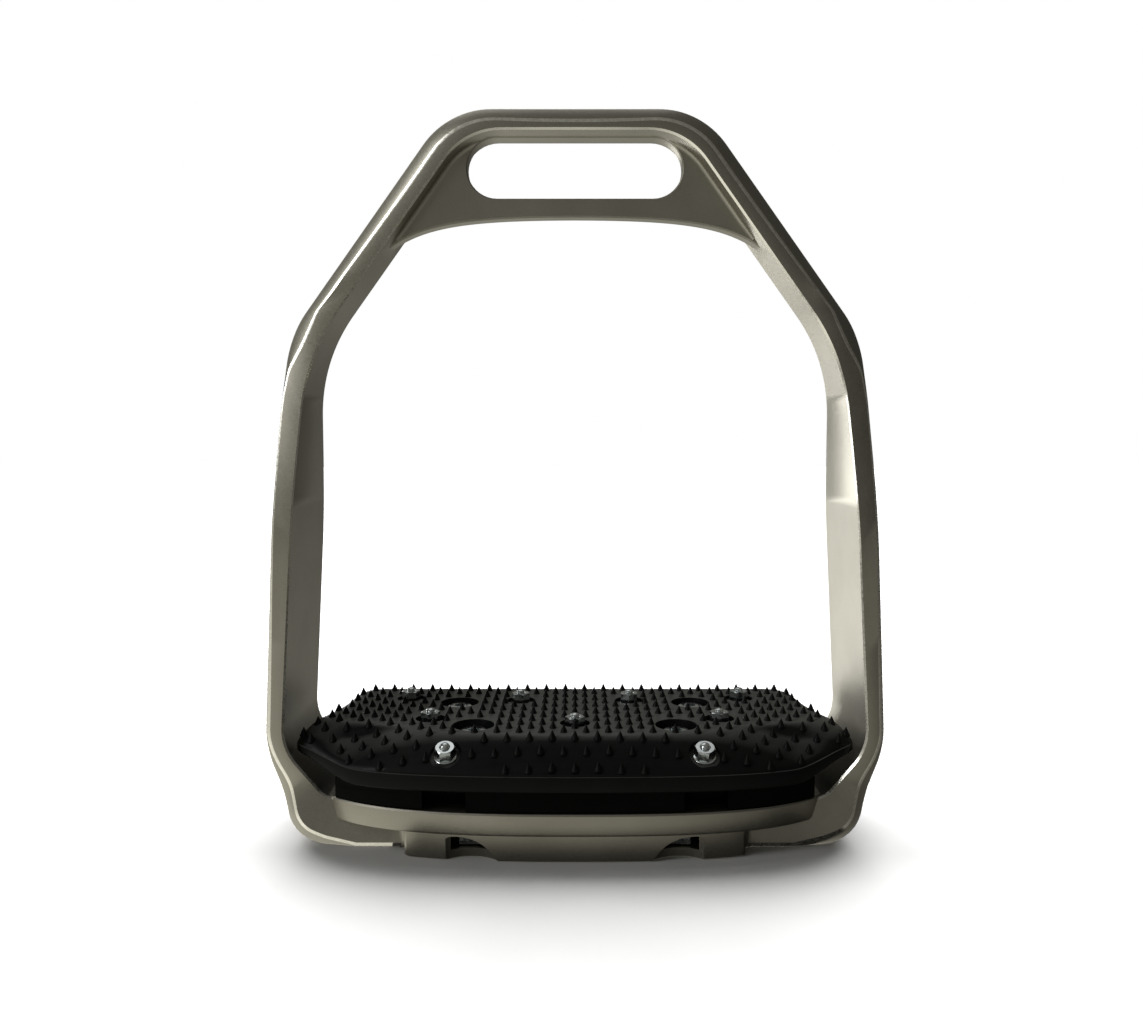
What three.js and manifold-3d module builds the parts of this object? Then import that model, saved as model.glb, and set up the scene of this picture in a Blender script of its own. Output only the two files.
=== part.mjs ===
// A fixed-tread stirrup iron: a one-piece machined frame with a strap slot in its top web, a domed
// black tread on a spacer, four tread screws with captive nuts, and nine grip studs.
// Millimetres, +Z up, +X across the foot, +Y away from the side the foot enters.
// The origin is the middle of the underside.
import * as THREE from "three";
import { mergeVertices } from "three/addons/utils/BufferGeometryUtils.js";
import Module from "manifold-3d";

const wasm = await Module();
wasm.setup();

// Driving dimensions.
const FRAME_HEIGHT = 165.2; // underside to the top of the bow
const TOP_BAR = 5.4; // thickness of the bow above the strap slot
const BASE_TOP = 10.8; // the tread spacer rests here
const LIP_BOTTOM = 5.8; // the base is stepped in below this height
const BAR_TOP = 10.3; // top of the bar that joins the arms through the lip
const ARM_DEPTH_TOP = 14; // depth of the arms, front to back, beside the slot
const ARM_DEPTH_LOW = 29; // and beside the foot
const ARM_DEPTH_BASE = 34.8; // and where they run under the tread
const EDGE_CHAMFER = 0.7;
const WEB_HALF = 1.9; // half the thickness of the slotted web
const SLOT = { halfWidth: 24.6, bottom: 146, top: FRAME_HEIGHT - TOP_BAR - 0.3, flare: 1.5 };
const LIP = { halfWidth: 60.3, halfDepth: 25.9, power: 2.65 };
const PAD = { halfWidth: 37.4, inset: 0.9 }; // the thick middle of the base
const TREAD = { halfDepth: 26.3, top: 26, rearFall: 1, bottom: 15.6, tipLift: 4.4 };
const TREAD_HOLE_RADIUS = 4.75; // counterbore over each tread screw
const TREAD_SEAT = 22.6; // floor of that counterbore
const SCREW = {
  radius: 2,
  headRadius: 3.9,
  headHeight: 2.1,
  bottom: 1.2,
  socketAcross: 2.5,
  socketDepth: 1.2,
  nutHeight: 3.2,
};
const SCREW_CLEARANCE = 0.25;
// The pocket for each nut, and the scallop at its mouth: a round bite towards the pad's edge.
const POCKET = { bottom: 1.9, top: 5.4, halfWidth: 4.5, behind: 4.5, mouth: 22.9 };
const SCALLOP = { radius: 8.5, out: 30.2, shift: 0.6 };
// The tread nuts are long bars that taper to a narrow nose at the mouth of their pockets.
const NUT_BAR = { halfWidth: 4, noseHalfWidth: 2.1, nose: 20.8, shoulder: 17.5, behind: 4 };
const STUD = { radius: 1, nutAcross: 4, nutHeight: 2.5, washerRadius: 2.5, washerHeight: 0.35 };
const STUD_RECESS_RADIUS = 3.5;
const STUD_RECESS_DEPTH = 1.2;
const STUD_TIP = 1; // thread that stands above the nut
const STUD_HEAD = { radius: 2, height: 1.4 };
const STUD_NUT_TURN = 37; // degrees from one stud's nut to the next, as they happened to stop
const STUD_GRIP = 2.2; // tread left between a stud's head and its recess
const FIT = 0.05; // clearance between pieces that are tightened together

// Where the tread screws go: X and Y of the right-hand pair; the left pair mirrors it.
const SCREW_SPOTS = { front: [23.3, -9.5], rear: [28.9, 10.8] };
// Where the grip studs go: X, Y and forward lean in degrees.
const STUD_SPOTS = {
  front_left: [-28.3, -21.2, 23],
  front_right: [28.3, -21.2, 23],
  middle_left: [-34, -4, 0],
  middle_centre: [0, -8, 0],
  middle_right: [34, -4, 0],
  rear_outer_left: [-41.8, 15, 0],
  rear_inner_left: [-13.7, 13, 0],
  rear_inner_right: [13.7, 13, 0],
  rear_outer_right: [41.8, 15, 0],
};

const paint = (color, roughness, metalness) =>
  new THREE.MeshStandardMaterial({ color, roughness, metalness });
const MATERIALS = {
  frame: paint(0x8b897c, 0.42, 1),
  tread: paint(0x151617, 0.5, 0),
  spacer: paint(0x0d0e0f, 0.65, 0),
  hardware: paint(0xc6cdd0, 0.22, 1),
};

const part = new THREE.Group();
part.name = "stirrup_iron";

// ---- small helpers ----

const smooth = (low, high, v) => THREE.MathUtils.smoothstep(v, low, high);

function toSolid(geometry) {
  const bare = new THREE.BufferGeometry();
  bare.setAttribute("position", geometry.getAttribute("position"));
  if (geometry.index) bare.setIndex(geometry.index);
  const merged = mergeVertices(bare, 1e-4);
  return new wasm.Manifold(
    new wasm.Mesh({
      numProp: 3,
      vertProperties: merged.getAttribute("position").array,
      triVerts: new Uint32Array(merged.index.array),
    }),
  );
}

function toGeometry(solid) {
  const mesh = solid.getMesh();
  const geometry = new THREE.BufferGeometry();
  geometry.setAttribute("position", new THREE.BufferAttribute(mesh.vertProperties, 3));
  geometry.setIndex(new THREE.BufferAttribute(mesh.triVerts, 1));
  geometry.computeVertexNormals();
  return geometry;
}

function addPiece(name, solid, material, parent = part) {
  const mesh = new THREE.Mesh(toGeometry(solid), material);
  mesh.name = name;
  parent.add(mesh);
}

// An upright prism of a plan outline, between two heights.
function prism(points, low, high) {
  const shape = new THREE.Shape(points);
  const geometry = new THREE.ExtrudeGeometry(shape, { depth: high - low, bevelEnabled: false });
  return toSolid(geometry.translate(0, 0, low));
}

// A prism of a front-view outline (X, Z), from -half to half in Y.
function plateAcross(points, half) {
  const shape = new THREE.Shape(points);
  const geometry = new THREE.ExtrudeGeometry(shape, { depth: 2 * half, bevelEnabled: false });
  return toSolid(geometry.rotateX(Math.PI / 2).translate(0, half, 0));
}

function cylinder(radius, low, high, x = 0, y = 0, sides = 32) {
  const geometry = new THREE.CylinderGeometry(radius, radius, high - low, sides);
  return toSolid(geometry.rotateX(Math.PI / 2).translate(x, y, (low + high) / 2));
}

// A hex nut on the Z axis with one corner towards -Y, turned by some degrees.
function hexNut(across, low, high, holeRadius, turn, holeSides) {
  const body = cylinder(across / Math.sqrt(3), low, high, 0, 0, 6).rotate([0, 0, turn]);
  return body.subtract(cylinder(holeRadius, low - 1, high + 1, 0, 0, holeSides));
}

// A solid through rings of points, each turning counter-clockwise seen from the next one. The
// last ring joins the first if the loft is closed, and otherwise both ends are capped.
function loft(rings, closed) {
  const size = rings[0].length;
  const index = [];
  const spans = closed ? rings.length : rings.length - 1;
  for (let i = 0; i < spans; i++) {
    const next = (i + 1) % rings.length;
    for (let k = 0; k < size; k++) {
      const up = (k + 1) % size;
      const a = i * size + k;
      const b = next * size + k;
      const c = next * size + up;
      const d = i * size + up;
      index.push(a, d, b, b, d, c);
    }
  }
  const last = (rings.length - 1) * size;
  for (let k = 1; !closed && k < size - 1; k++) index.push(0, k + 1, k, last, last + k, last + k + 1);
  const geometry = new THREE.BufferGeometry();
  geometry.setAttribute("position", new THREE.Float32BufferAttribute(rings.flat(2), 3));
  geometry.setIndex(index);
  return toSolid(geometry);
}

// A closed plan outline |x/a|^n + |y/b|^n = 1, counter-clockwise.
function superellipse(a, b, power, count = 96) {
  const points = [];
  for (let i = 0; i < count; i++) {
    const turn = (2 * Math.PI * i) / count;
    const c = Math.cos(turn);
    const s = Math.sin(turn);
    const x = a * Math.sign(c) * Math.abs(c) ** (2 / power);
    const y = b * Math.sign(s) * Math.abs(s) ** (2 / power);
    points.push(new THREE.Vector2(x, y));
  }
  return points;
}

// ---- the frame ----

// Corners of the right-hand half of each outline, bottom to top: X, Z, corner radius.
const OUTER_CORNERS = [
  [0, 0, 0],
  [63.1, 0, 9.5],
  [69.9, 21.4, 30],
  [65.3, 114.6, 22],
  [28.5, FRAME_HEIGHT, 19],
  [0, FRAME_HEIGHT, 0],
];
const INNER_CORNERS = [
  [0, BAR_TOP, 0],
  [56.2, BAR_TOP, 6],
  [65.8, 21.6, 12],
  [60.7, 109.9, 45],
  [24.4, FRAME_HEIGHT - TOP_BAR, 16],
  [0, FRAME_HEIGHT - TOP_BAR, 0],
];
const ARC_STEPS = 7;
const LEG_STEPS = [4, 2, 12, 4, 3];

// The half outline as points: each leg in equal steps, and each corner as an arc.
function halfOutline(corners) {
  const at = corners.map(([x, z]) => new THREE.Vector2(x, z));
  const points = [];
  let from = at[0];
  for (let i = 1; i < at.length; i++) {
    const radius = corners[i][2];
    const inward = at[i - 1].clone().sub(at[i]).normalize();
    let arcStart = at[i];
    let arc = [];
    if (radius > 0) {
      const onward = at[i + 1].clone().sub(at[i]).normalize();
      const half = Math.acos(inward.dot(onward)) / 2;
      const reach = radius / Math.tan(half);
      arcStart = at[i].clone().addScaledVector(inward, reach);
      const arcEnd = at[i].clone().addScaledVector(onward, reach);
      const centre = inward.clone().add(onward).normalize();
      centre.multiplyScalar(radius / Math.sin(half)).add(at[i]);
      const sweep = Math.PI - 2 * half;
      for (let k = 1; k < ARC_STEPS; k++)
        arc.push(arcStart.clone().rotateAround(centre, (sweep * k) / ARC_STEPS));
      arc.push(arcEnd);
    }
    for (let k = i === 1 ? 0 : 1; k <= LEG_STEPS[i - 1]; k++)
      points.push(from.clone().lerp(arcStart, k / LEG_STEPS[i - 1]));
    points.push(...arc);
    from = points[points.length - 1];
  }
  return points;
}

// Half the depth of the arms at a height: slim beside the slot, wide beside the foot.
function armHalfDepth(z) {
  const low = ARM_DEPTH_LOW / 2;
  const slim = (ARM_DEPTH_TOP / 2 - low) * smooth(66, 118, z);
  const base = (ARM_DEPTH_BASE / 2 - low) * (1 - smooth(0, 13, z));
  return low + slim + base;
}

// Width of the outer bevel: broad round the bow and the bottom corners, slim on the arms.
function outerBevel(x, z) {
  const bow = 2.7 * smooth(98, 115, z);
  const corner = 2.3 * (1 - smooth(10, 26, z)) * smooth(49, 60, Math.abs(x));
  return EDGE_CHAMFER + bow + corner;
}

function ringSection(inner, outer) {
  const across = outer.clone().sub(inner).normalize();
  const bevel = outerBevel(outer.x, outer.y);
  const innerHalf = armHalfDepth(inner.y);
  const outerHalf = armHalfDepth(outer.y);
  const half = [
    [inner, innerHalf - EDGE_CHAMFER],
    [inner.clone().addScaledVector(across, EDGE_CHAMFER), innerHalf],
    [outer.clone().addScaledVector(across, -bevel), outerHalf],
    [outer, outerHalf - 0.85 * bevel],
  ];
  const front = half.map(([p, y]) => [p.x, -y, p.y]);
  const back = half.map(([p, y]) => [p.x, y, p.y]).reverse();
  return [...front, ...back];
}

// The bow, arms and base bar: one closed ring of sections round both halves.
function frameRing() {
  const inner = halfOutline(INNER_CORNERS);
  const outer = halfOutline(OUTER_CORNERS);
  const mirrored = (p) => new THREE.Vector2(-p.x, p.y);
  const pairs = inner.map((p, i) => [p, outer[i]]);
  const left = pairs.slice(1, -1).reverse();
  const stations = [...pairs, ...left.map(([p, q]) => [mirrored(p), mirrored(q)])];
  const sections = stations.map(([p, q]) => ringSection(p, q));
  return loft(sections, true);
}

// The thin web that closes the top of the bow down to the arch, without its slot.
function web() {
  const shape = new THREE.Shape();
  shape.moveTo(-50, 127);
  shape.bezierCurveTo(-41, 139.5, -32, 141.7, 0, 141.8);
  shape.bezierCurveTo(32, 141.7, 41, 139.5, 50, 127);
  shape.lineTo(53, 128);
  shape.lineTo(26, FRAME_HEIGHT - 3);
  shape.lineTo(-26, FRAME_HEIGHT - 3);
  shape.lineTo(-53, 128);
  return plateAcross(shape.getPoints(14), WEB_HALF);
}

// The strap slot: a round-ended hole right through the web, flared behind it so that the strap
// bears on a sloping bar.
function strapSlot() {
  const radius = (SLOT.top - SLOT.bottom) / 2;
  const middle = (SLOT.top + SLOT.bottom) / 2;
  const reach = SLOT.halfWidth - radius;
  const ring = (extra, y) => {
    const path = new THREE.Path();
    path.absarc(reach, middle, radius + extra, -Math.PI / 2, Math.PI / 2, false);
    path.absarc(-reach, middle, radius + extra, Math.PI / 2, 1.5 * Math.PI, false);
    return path.getPoints(12).map((p) => [p.x, y, p.y]);
  };
  const back = ARM_DEPTH_TOP / 2 + 0.5;
  return loft([ring(SLOT.flare, back), ring(0, WEB_HALF), ring(0, -2 * WEB_HALF)], false);
}

// The stepped base under the tread: the broad lip, and the thick pad below its middle.
function basePlates() {
  const lip = prism(superellipse(LIP.halfWidth, LIP.halfDepth, LIP.power), LIP_BOTTOM, BASE_TOP);
  const padPlan = superellipse(
    LIP.halfWidth - PAD.inset,
    LIP.halfDepth - PAD.inset,
    LIP.power,
  );
  const side = PAD.halfWidth;
  const deep = LIP.halfDepth + 1;
  const cut = prism(
    [
      new THREE.Vector2(-side, -deep),
      new THREE.Vector2(side, -deep),
      new THREE.Vector2(side, deep),
      new THREE.Vector2(-side, deep),
    ],
    -1,
    LIP_BOTTOM + 1,
  );
  const pad = prism(padPlan, 0, LIP_BOTTOM + 0.5).intersect(cut);
  return lip.add(pad);
}

// Front view of a scallop: distances outwards from the screw, and heights.
const SCALLOP_OUTLINE = [
  [-6.9, -1],
  [-6.6, 0],
  [-3.9, 3],
  [-2.1, 4.2],
  [0, 4.9],
  [2, 5.2],
  [3.8, 5.3],
  [5.2, 4.8],
  [5.9, 3.6],
  [6, 2.2],
  [5.4, 0],
  [5.2, -1],
];

// The pocket that holds one nut, and the arched scallop in the pad's edge that leads to it.
function nutSlot(x, y) {
  const side = Math.sign(x);
  const outward = Math.sign(y);
  const ends = [y - outward * POCKET.behind, outward * POCKET.mouth].sort((a, b) => a - b);
  const w = POCKET.halfWidth;
  const corners = [
    new THREE.Vector2(x - w, ends[0]),
    new THREE.Vector2(x + w, ends[0]),
    new THREE.Vector2(x + w, ends[1]),
    new THREE.Vector2(x - w, ends[1]),
  ];
  const pocket = prism(corners, POCKET.bottom, POCKET.top);
  const outline = SCALLOP_OUTLINE.map(([out, z]) => new THREE.Vector2(x + side * out, z));
  const middle = x - side * SCALLOP.shift;
  const bite = cylinder(SCALLOP.radius, -2, LIP_BOTTOM, middle, outward * SCALLOP.out, 48);
  return pocket.add(bite.intersect(plateAcross(outline, LIP.halfDepth + 2)));
}

function screwSpots() {
  const spots = {};
  for (const [row, [x, y]] of Object.entries(SCREW_SPOTS)) {
    spots[row + "_left"] = [-x, y];
    spots[row + "_right"] = [x, y];
  }
  return spots;
}

function addFrame() {
  let body = frameRing().add(web()).subtract(strapSlot()).add(basePlates());
  for (const [x, y] of Object.values(screwSpots())) {
    body = body.subtract(nutSlot(x, y));
    body = body.subtract(cylinder(SCREW.radius + SCREW_CLEARANCE, -1, BASE_TOP + 1, x, y));
  }
  addPiece("frame", body, MATERIALS.frame);
}

// ---- the tread ----

// Half the plan of the tread, right side, front to back: a bowed front edge, a wing that reaches
// between the arms, a drawn-in flank and a squarer back corner.
function treadPlan() {
  const front = TREAD.halfDepth;
  const path = new THREE.Path();
  path.moveTo(0, -front);
  path.bezierCurveTo(28, -front, 43, -24.3, 51, -19.6);
  path.bezierCurveTo(55.5, -17, 59, -14.8, 61.8, -12.9);
  path.bezierCurveTo(64, -11.3, 64.3, -9.4, 63.2, -6.6);
  path.bezierCurveTo(61.2, -1.8, 58.7, 5, 57.6, 13);
  path.lineTo(56.9, 21.5);
  path.bezierCurveTo(56.4, 25, 54.9, front, 52.4, front);
  path.lineTo(0, front);
  const right = path.getSpacedPoints(42);
  const left = right.slice(1, -1).reverse();
  return [...right, ...left.map((p) => new THREE.Vector2(-p.x, p.y))];
}

// How far out a point is along a wing, 0 to 1.
const wingRise = (x) => smooth(48, 64, Math.abs(x));

function treadBottom(x) {
  return TREAD.bottom + TREAD.tipLift * wingRise(x);
}

// Height of the tread's top: a plateau that falls a little to the back and rolls off at its rim.
// share is 1 on the rim and 0 in the middle of the plan.
function treadTop(x, y, share) {
  const plateau = TREAD.top - (TREAD.rearFall * (y + TREAD.halfDepth)) / (2 * TREAD.halfDepth);
  const front = 1 - smooth(-12, -1, y);
  const fall = 0.9 + 5.9 * front * (1 - 0.49 * wingRise(x));
  const start = 0.95 - 0.29 * front * (1 - 0.85 * wingRise(x));
  const roll = Math.max(0, (share - start) / (1 - start));
  return plateau - fall * roll ** 1.35;
}

// Rings of the plan, shrunk towards the middle: up the top from the rim, then back out below.
const TREAD_TOP_RINGS = [1, 0.95, 0.89, 0.82, 0.74, 0.66, 0.35];
const TREAD_SOLE_RINGS = [0.35, 0.8, 0.9, 1];

function treadBlank() {
  const plan = treadPlan();
  const count = plan.length;
  const rings = [
    ...TREAD_TOP_RINGS.map((share) => [share, (x, y) => treadTop(x, y, share)]),
    ...TREAD_SOLE_RINGS.map((share) => [share, (x) => treadBottom(x)]),
  ];
  const positions = [];
  for (const [share, height] of rings)
    for (const p of plan) {
      const x = p.x * share;
      const y = p.y * share;
      positions.push(x, y, height(x, y));
    }
  positions.push(0, 0, treadTop(0, 0, 0));
  positions.push(0, 0, treadBottom(0));
  const crown = rings.length * count;
  const sole = crown + 1;
  const lastTop = TREAD_TOP_RINGS.length - 1;
  const index = [];
  for (let i = 0; i < count; i++) {
    const j = (i + 1) % count;
    for (let ring = 0; ring < rings.length; ring++) {
      const a = ring * count;
      const b = ((ring + 1) % rings.length) * count;
      if (ring === lastTop) index.push(a + i, a + j, crown, b + j, b + i, sole);
      else index.push(a + i, a + j, b + j, a + i, b + j, b + i);
    }
  }
  const geometry = new THREE.BufferGeometry();
  geometry.setAttribute("position", new THREE.Float32BufferAttribute(positions, 3));
  geometry.setIndex(index);
  return toSolid(geometry);
}

// Height of the tread's surface where a stud stands.
const STUD_SEAT = { flat: 25.5, front: 22.9 };

// A frame whose origin is the stud's seat on the tread, leaning with it.
function studMatrix([x, y, lean]) {
  const seat = lean > 0 ? STUD_SEAT.front : STUD_SEAT.flat;
  const matrix = new THREE.Matrix4().makeRotationX(THREE.MathUtils.degToRad(lean));
  return matrix.setPosition(x, y, seat);
}

// Places a solid that was made round the origin at a stud's seat.
const atStud = (solid, spot) => solid.transform(studMatrix(spot).toArray());

function studHole() {
  const floor = -STUD_RECESS_DEPTH;
  const recess = cylinder(STUD_RECESS_RADIUS, floor, 12, 0, 0, 20);
  const bore = cylinder(STUD.radius + 0.2, -30, 1, 0, 0, 12);
  const head = cylinder(STUD_HEAD.radius + 0.3, -30, floor - STUD_GRIP, 0, 0, 14);
  return recess.add(bore).add(head);
}

function addTread() {
  let body = treadBlank();
  for (const [x, y] of Object.values(screwSpots())) {
    body = body.subtract(cylinder(TREAD_HOLE_RADIUS, TREAD_SEAT, 40, x, y));
    body = body.subtract(cylinder(SCREW.radius + SCREW_CLEARANCE, 0, 40, x, y));
  }
  for (const spot of Object.values(STUD_SPOTS)) body = body.subtract(atStud(studHole(), spot));
  addPiece("tread_plate", body, MATERIALS.tread);
}

// The spacer between base and tread: set in from the lip, cut square at its ends, with a window
// beside each screw at the front and the back.
function addSpacer() {
  const inset = 0.8;
  const end = 53.8;
  const window = { from: 23.6, to: 33.2, depth: 6 };
  const plan = superellipse(LIP.halfWidth + 1, LIP.halfDepth - inset, LIP.power);
  let body = prism(
    plan.map((p) => new THREE.Vector2(THREE.MathUtils.clamp(p.x, -end, end), p.y)),
    BASE_TOP,
    TREAD.bottom,
  );
  for (const side of [-1, 1])
    for (const face of [-1, 1]) {
      const xs = [side * window.from, side * window.to].sort((a, b) => a - b);
      const ys = [face * (LIP.halfDepth - inset - window.depth), face * 40].sort((a, b) => a - b);
      const corners = [
        new THREE.Vector2(xs[0], ys[0]),
        new THREE.Vector2(xs[1], ys[0]),
        new THREE.Vector2(xs[1], ys[1]),
        new THREE.Vector2(xs[0], ys[1]),
      ];
      body = body.subtract(prism(corners, BASE_TOP - 1, TREAD.bottom + 1));
    }
  for (const [x, y] of Object.values(screwSpots()))
    body = body.subtract(cylinder(SCREW.radius + SCREW_CLEARANCE, 0, 40, x, y));
  addPiece("tread_spacer", body, MATERIALS.spacer);
}

// ---- the fasteners ----

// The long nut of one tread screw, slid in from the edge of the pad.
function nutBar(x, y) {
  const outward = Math.sign(y);
  const behind = y - outward * NUT_BAR.behind;
  const corners = [
    [-NUT_BAR.halfWidth, behind],
    [-NUT_BAR.halfWidth, outward * NUT_BAR.shoulder],
    [-NUT_BAR.noseHalfWidth, outward * NUT_BAR.nose],
    [NUT_BAR.noseHalfWidth, outward * NUT_BAR.nose],
    [NUT_BAR.halfWidth, outward * NUT_BAR.shoulder],
    [NUT_BAR.halfWidth, behind],
  ];
  const top = POCKET.top - FIT;
  const plan = corners.map(([across, along]) => new THREE.Vector2(x + across, along));
  const bar = prism(plan, top - SCREW.nutHeight, top);
  return bar.subtract(cylinder(SCREW.radius + FIT, 0, BASE_TOP, x, y, 24));
}

// A pan-head screw down through tread, spacer and base, with a hex socket in its head.
function addTreadScrews() {
  for (const [place, [x, y]] of Object.entries(screwSpots())) {
    const headTop = TREAD_SEAT + SCREW.headHeight;
    const shank = cylinder(SCREW.radius, SCREW.bottom, TREAD_SEAT + 0.2, x, y, 24);
    const head = cylinder(SCREW.headRadius, TREAD_SEAT + FIT, headTop, x, y, 32);
    const socketRadius = SCREW.socketAcross / Math.sqrt(3);
    const socket = cylinder(socketRadius, headTop - SCREW.socketDepth, headTop + 1, x, y, 6);
    addPiece("tread_screw_" + place, shank.add(head).subtract(socket), MATERIALS.hardware);
    addPiece("tread_nut_" + place, nutBar(x, y), MATERIALS.hardware);
  }
}

// One grip stud: a headed M2 stud from below, a washer in the recess and a nut on the tread.
function addGripStuds() {
  const floor = -STUD_RECESS_DEPTH;
  const washerTop = floor + STUD.washerHeight;
  const nutTop = washerTop + FIT + STUD.nutHeight;
  const headTop = floor - STUD_GRIP - FIT;
  const hole = STUD.radius + 0.05;
  const shank = cylinder(STUD.radius, headTop - 0.2, nutTop + STUD_TIP, 0, 0, 12);
  const head = cylinder(STUD_HEAD.radius, headTop - STUD_HEAD.height, headTop, 0, 0, 14);
  const washer = cylinder(STUD.washerRadius, floor + FIT, washerTop, 0, 0, 20).subtract(
    cylinder(hole, floor - 1, washerTop + 1, 0, 0, 12),
  );
  let turn = 0;
  for (const [place, spot] of Object.entries(STUD_SPOTS)) {
    turn += STUD_NUT_TURN;
    const nut = hexNut(STUD.nutAcross, washerTop + FIT, nutTop, hole, turn, 12);
    addPiece("grip_stud_" + place, atStud(shank.add(head), spot), MATERIALS.hardware);
    addPiece("grip_washer_" + place, atStud(washer, spot), MATERIALS.hardware);
    addPiece("grip_nut_" + place, atStud(nut, spot), MATERIALS.hardware);
  }
}

addFrame();
addTread();
addSpacer();
addTreadScrews();
addGripStuds();

export default part;
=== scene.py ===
"""A fixed-tread stirrup iron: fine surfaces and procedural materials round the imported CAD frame.

Lengths are in millimetres until solid() turns them into metres. +X runs across the foot, +Y away
from the side the foot enters and +Z up; the origin is the middle of the underside.
"""
import math

import bmesh
import bpy
from mathutils import Matrix, Vector


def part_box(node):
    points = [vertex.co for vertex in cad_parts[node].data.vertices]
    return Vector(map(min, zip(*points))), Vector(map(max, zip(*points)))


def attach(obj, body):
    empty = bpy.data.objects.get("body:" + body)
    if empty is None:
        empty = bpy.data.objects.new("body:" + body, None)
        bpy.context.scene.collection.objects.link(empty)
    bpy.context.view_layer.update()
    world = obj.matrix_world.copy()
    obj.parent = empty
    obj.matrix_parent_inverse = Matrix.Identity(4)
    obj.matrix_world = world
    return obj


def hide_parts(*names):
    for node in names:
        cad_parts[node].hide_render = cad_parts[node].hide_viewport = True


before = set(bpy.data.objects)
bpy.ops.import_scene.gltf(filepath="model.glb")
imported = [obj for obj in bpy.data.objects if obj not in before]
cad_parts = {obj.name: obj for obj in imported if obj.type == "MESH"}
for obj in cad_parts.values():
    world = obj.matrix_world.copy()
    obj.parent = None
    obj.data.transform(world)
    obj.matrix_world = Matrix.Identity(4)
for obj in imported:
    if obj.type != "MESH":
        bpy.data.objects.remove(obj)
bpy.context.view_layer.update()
MM = 0.001


def top_of(node):
    """The highest point of a CAD node, in millimetres."""
    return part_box(node)[1][2] / MM


def centre_of(node):
    """The middle of a CAD node's box, in millimetres."""
    low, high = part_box(node)
    return Vector([(a + b) / 2 / MM for a, b in zip(low, high)])


# ---- small helpers ----


def smooth(low, high, v):
    """A step from 0 to 1 that eases in and out between low and high."""
    t = min(1.0, max(0.0, (v - low) / (high - low)))
    return t * t * (3 - 2 * t)


def solid(name, points, faces, materials, face_slots=None):
    """A mesh object made from points in millimetres."""
    mesh = bpy.data.meshes.new(name)
    mesh.from_pydata([Vector(p) * MM for p in points], [], faces)
    for material in materials:
        mesh.materials.append(material)
    if face_slots:
        mesh.polygons.foreach_set("material_index", face_slots)
    shell = bmesh.new()
    shell.from_mesh(mesh)
    bmesh.ops.recalc_face_normals(shell, faces=shell.faces)
    shell.to_mesh(mesh)
    shell.free()
    piece = bpy.data.objects.new(name, mesh)
    bpy.context.scene.collection.objects.link(piece)
    return piece


def boolean(piece, tool, operation):
    """Joins a tool to a piece, or cuts or trims the piece with it, and uses the tool up."""
    modifier = piece.modifiers.new("cut", "BOOLEAN")
    modifier.operation = operation
    modifier.solver = "MANIFOLD"
    modifier.object = tool
    view = bpy.context.evaluated_depsgraph_get()
    result = bpy.data.meshes.new_from_object(piece.evaluated_get(view))
    piece.modifiers.remove(modifier)
    old = piece.data
    piece.data = result
    bpy.data.meshes.remove(old)
    bpy.data.meshes.remove(tool.data)
    return piece


def crisp(piece, angle=24):
    """Smooth shading that keeps every edge sharper than an angle."""
    piece.data.shade_smooth()
    piece.data.set_sharp_from_angle(angle=math.radians(angle))


def loops(name, rings, materials, closed=False, slots=None):
    """A surface through rings of points, capped at both ends unless the rings close on themselves.

    slots gives the material of each strip between neighbouring points of a ring.
    """
    size = len(rings[0])
    points = [p for ring in rings for p in ring]
    faces = []
    face_slots = []
    spans = len(rings) if closed else len(rings) - 1
    for i in range(spans):
        here = i * size
        there = (i + 1) % len(rings) * size
        for k in range(size):
            up = (k + 1) % size
            faces.append((here + k, here + up, there + up, there + k))
            face_slots.append(slots[k] if slots else 0)
    if not closed:
        faces.append(tuple(reversed(range(size))))
        last = (len(rings) - 1) * size
        faces.append(tuple(last + k for k in range(size)))
        face_slots += [0, 0]
    return solid(name, points, faces, materials, face_slots)


def circle(radius, count, turn=0.0):
    """Evenly spaced points round the origin, counter-clockwise from an angle."""
    step = 2 * math.pi / count
    angles = [k * step + turn for k in range(count)]
    return [(radius * math.cos(a), radius * math.sin(a)) for a in angles]


def lathe(name, profile, materials, sides=32):
    """A solid turned about Z from (radius, height) pairs, bottom to top."""
    rings = [[(x, y, z) for x, y in circle(radius, sides)] for radius, z in profile]
    return loops(name, rings, materials)


def stack(name, layers, materials):
    """A solid through plan outlines, each with its height: [(points, z), ...], bottom to top."""
    return loops(name, [[(x, y, z) for x, y in plan] for plan, z in layers], materials)


def inset(plan, distance):
    """A closed outline (counter-clockwise) moved inwards by a distance."""
    moved = []
    count = len(plan)
    for i in range(count):
        before = Vector(plan[i - 1])
        after = Vector(plan[(i + 1) % count])
        along = (after - before).normalized()
        moved.append((plan[i][0] - along.y * distance, plan[i][1] + along.x * distance))
    return moved


def superellipse(a, b, power, count=240):
    """The closed outline |x/a|^n + |y/b|^n = 1, counter-clockwise."""
    outline = []
    for i in range(count):
        c = math.cos(2 * math.pi * i / count)
        s = math.sin(2 * math.pi * i / count)
        x = math.copysign(abs(c) ** (2 / power), c)
        y = math.copysign(abs(s) ** (2 / power), s)
        outline.append((a * x, b * y))
    return outline


def bezier(points, count):
    """Points along one cubic curve, without its first."""
    a, b, c, d = [Vector(p) for p in points]
    out = []
    for i in range(1, count + 1):
        t = i / count
        u = 1 - t
        out.append(tuple(a * u**3 + b * 3 * u * u * t + c * 3 * u * t * t + d * t**3))
    return out


def keep(piece, node):
    """Makes a finished piece ride with the stirrup and hides the CAD node it stands for."""
    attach(piece, "root")
    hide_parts(node)


# ---- materials ----


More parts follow.
